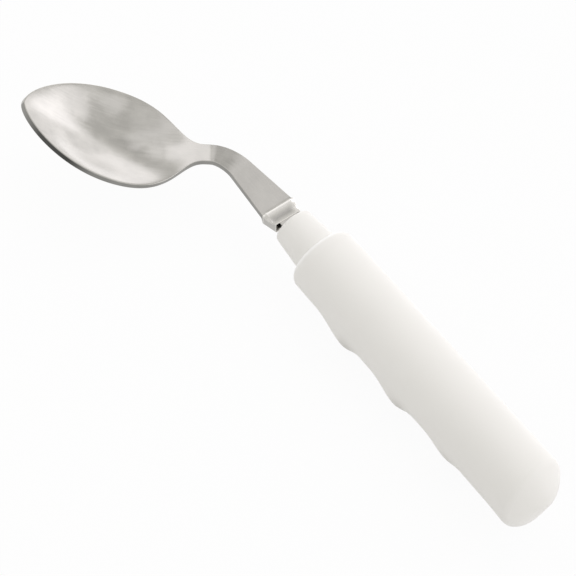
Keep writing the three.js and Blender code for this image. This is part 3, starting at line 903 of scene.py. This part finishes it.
# Lamps: places and sizes in metres
PANEL_DISTANCE = 1.2
LAMP_COLOUR = (1.0, 0.978, 1.045)
FRONT_FILL_PLACE = (0.22, 0.16, 0.14)
FRONT_FILL_SIZE = 0.15
FRONT_FILL_LEVEL = 1.1
CEILING_HEIGHT = 1.2
CEILING_SIZE = 0.7
CEILING_LEVEL = 0.1
CARD_PLACE = (0.35, -0.6)
CARD_WIDTH = 0.9
CARD_LENGTH = 1.1
CARD_LEVEL = 0.75

# Upright panels: name, azimuth, width, lowest and highest elevation in degrees, level, for steel, for matt
PANELS = (
    ("far_panel", -72, 66, 0.5, 33, 0.42, True, True),
    ("right_panel", -54, 20, 0.5, 24, 0.27, True, False),
    ("left_panel", -132, 54, 0.5, 40, 0.52, True, False),
    ("low_panel", -118, 66, 0.5, 26, 0.56, True, False),
    ("back_panel", -151, 36, 36, 60, 0.33, True, True),
    ("stem_panel", -56, 13, 49, 60, 0.33, True, True),
    ("top_panel", -58, 58, 60, 77, 0.22, True, True),
    ("neck_panel", -22, 34, 44, 60, 0.58, True, True),
    ("fill_panel", -72, 110, 30, 72, 0.8, False, True),
    ("butt_panel", -178, 66, 2, 34, 0.6, False, True),
)


def area_lamp(name, across, along, level):
    data = bpy.data.lights.new(name, "AREA")
    data.shape = "RECTANGLE"
    data.size = across
    data.size_y = along
    data.energy = level * math.pi * across * along
    data.color = LAMP_COLOUR
    lamp = bpy.data.objects.new(name, data)
    bpy.context.scene.collection.objects.link(lamp)
    return lamp


def point_lamp(lamp, direction):
    lamp.rotation_euler = direction.to_track_quat("-Z", "Y").to_euler()


def soft_panel(name, azimuth, width, low, high, level, steel, matt):
    """An upright soft light between two elevations, for the steel, the matt surfaces or both."""
    a = math.radians(azimuth)
    bottom = PANEL_DISTANCE * math.tan(math.radians(low))
    top = PANEL_DISTANCE * math.tan(math.radians(high))
    across = 2 * PANEL_DISTANCE * math.tan(math.radians(width) / 2)
    lamp = area_lamp(name, across, top - bottom, level)
    lamp.location = (PANEL_DISTANCE * math.cos(a), PANEL_DISTANCE * math.sin(a), (top + bottom) / 2)
    point_lamp(lamp, Vector((-math.cos(a), -math.sin(a), 0)))
    lamp.visible_glossy = steel
    lamp.visible_diffuse = matt


def front_fill():
    """A small soft light near the spoon's end, not seen in the steel."""
    lamp = area_lamp("front_fill", FRONT_FILL_SIZE, FRONT_FILL_SIZE, FRONT_FILL_LEVEL)
    lamp.location = FRONT_FILL_PLACE
    point_lamp(lamp, Vector(SEAT) - lamp.location)
    lamp.visible_glossy = False
    lamp.visible_camera = False


def ceiling():
    lamp = area_lamp("ceiling", CEILING_SIZE, CEILING_SIZE, CEILING_LEVEL)
    lamp.location = (0, 0, CEILING_HEIGHT)


def table_card():
    """A lit card flat on the floor, seen only in the steel."""
    lamp = area_lamp("table_card", CARD_WIDTH, CARD_LENGTH, CARD_LEVEL)
    lamp.location = (*CARD_PLACE, cad_low[2])
    point_lamp(lamp, Vector((0, 0, 1)))
    lamp.visible_camera = False
    lamp.visible_diffuse = False
    lamp.visible_transmission = False


handle = build_handle()
collar = build_collar()
spoon = build_spoon()
build_camera()
build_world()
build_floor()
for panel in PANELS:
    soft_panel(*panel)
front_fill()
ceiling()
table_card()

steel = steel_material()
handle_white = plastic_material("handle_white", WHITE_DARK, WHITE_LIGHT, HANDLE_ROUGHNESS, HANDLE_MARKS)
collar_white = plastic_material("collar_white", WHITE_DARK, WHITE_LIGHT, COLLAR_ROUGHNESS)
resin = plastic_material("cured_resin", RESIN_DARK, RESIN_LIGHT, RESIN_ROUGHNESS)

for piece, node, slot, material in (
    (handle, "handle_shell", "handle_plastic", handle_white),
    (collar, "collar_plug", "collar_plastic", collar_white),
    (spoon, "spoon", "steel", steel),
):
    piece.data.materials.append(material)
    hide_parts(node)
    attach(piece, "root")
resin_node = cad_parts["tang_resin"]
resin_node.data.materials.clear()
resin_node.data.materials.append(resin)

bpy.context.scene.view_settings.view_transform = "Standard"
